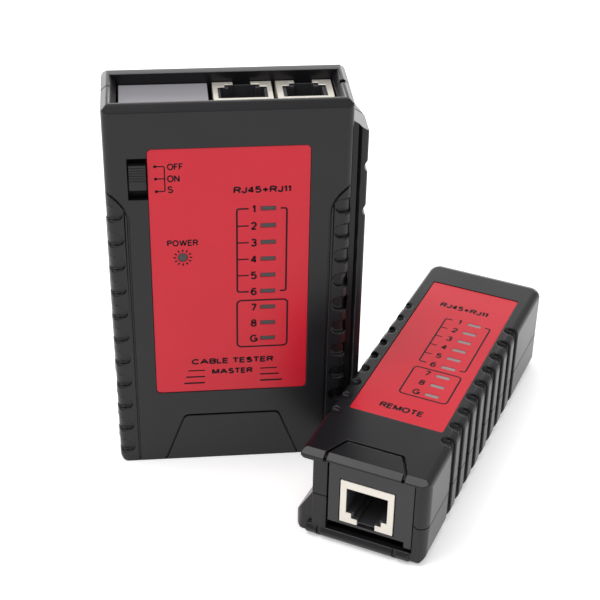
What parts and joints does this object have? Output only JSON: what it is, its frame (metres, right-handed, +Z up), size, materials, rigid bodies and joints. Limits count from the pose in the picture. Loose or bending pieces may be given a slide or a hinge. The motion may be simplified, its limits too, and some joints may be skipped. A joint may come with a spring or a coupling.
{
  "type": "network cable tester",
  "caption": "Upright master unit with jack sockets, slide switch and red face label, beside a separate smaller remote unit that lies flat.",
  "frame": {"origin": "middle of the footprint of the whole arrangement, on the surface it stands on", "axes": "+X across the master's face towards the remote, -Y out of the master's printed face, +Z up"},
  "size_m": [0.1342, 0.1108, 0.1165],
  "materials": {
    "case_black": "satin black moulded ABS with a fine spark texture",
    "panel_black": "smoother satin black plate",
    "plate_grey": "mid-grey satin plate round the jacks",
    "label_red": "semi-gloss printed polycarbonate film",
    "lens_grey": "unlit diffused light lens",
    "nickel": "bright nickel-plated sheet",
    "gold": "gold-plated spring contacts",
    "insert_black": "matt moulded insert",
    "board_green": "solder-masked glass-fibre board",
    "steel": "zinc-plated steel",
    "battery_wrap": "plain printed metal jacket",
    "lead_red": "PVC insulation",
    "lead_black": "PVC insulation and moulded snap cover"
  },
  "bodies": {
    "master": {"battery_9v": "battery_wrap", "battery_lead_black": "lead_black", "battery_lead_red": "lead_red", "battery_snap": "lead_black", "board_screw_1": "steel", "board_screw_2": "steel", "case_screw_1": "steel", "case_screw_2": "steel", "case_screw_3": "steel", "case_screw_4": "steel", "master_end_panel": "plate_grey", "master_front_shell": "case_black", "master_label": "label_red", "master_led_1": "lens_grey", "master_led_2": "lens_grey", "master_led_3": "lens_grey", "master_led_4": "lens_grey", "master_led_5": "lens_grey", "master_led_6": "lens_grey", "master_led_7": "lens_grey", "master_led_8": "lens_grey", "master_led_g": "lens_grey", "master_pcb": "board_green", "master_rear_shell": "case_black", "master_rj11_contacts": "gold", "master_rj11_insert": "insert_black", "master_rj11_shield": "nickel", "master_rj45_contacts": "gold", "master_rj45_insert": "insert_black", "master_rj45_shield": "nickel", "power_led": "lens_grey", "switch_frame": "insert_black"},
    "switch_knob": {"switch_knob": "case_black"},
    "battery_door": {"battery_door": "case_black"},
    "remote": {"remote_bottom_shell": "case_black", "remote_end_panel": "panel_black", "remote_label": "label_red", "remote_led_1": "lens_grey", "remote_led_2": "lens_grey", "remote_led_3": "lens_grey", "remote_led_4": "lens_grey", "remote_led_5": "lens_grey", "remote_led_6": "lens_grey", "remote_led_7": "lens_grey", "remote_led_8": "lens_grey", "remote_led_g": "lens_grey", "remote_pcb": "board_green", "remote_rj45_contacts": "gold", "remote_rj45_insert": "insert_black", "remote_rj45_shield": "nickel", "remote_screw_1": "steel", "remote_screw_2": "steel", "remote_top_shell": "case_black"}
  },
  "joints": [
    {"name": "switch_slide", "type": "slide", "parent": "master", "child": "switch_knob", "axis": [0, 0, -1], "range_m": [0, 0.0028]},
    {"name": "door_hinge", "type": "hinge", "parent": "master", "child": "battery_door", "pos_m": [-0.03394, 0.02104, 0.0046], "axis": [-1, 0, 0], "range_deg": [0, 75]},
    {"name": "remote_slide", "type": "slide", "parent": "master", "child": "remote", "axis": [1, 0, 0], "range_m": [0, 0.12]}
  ]
}
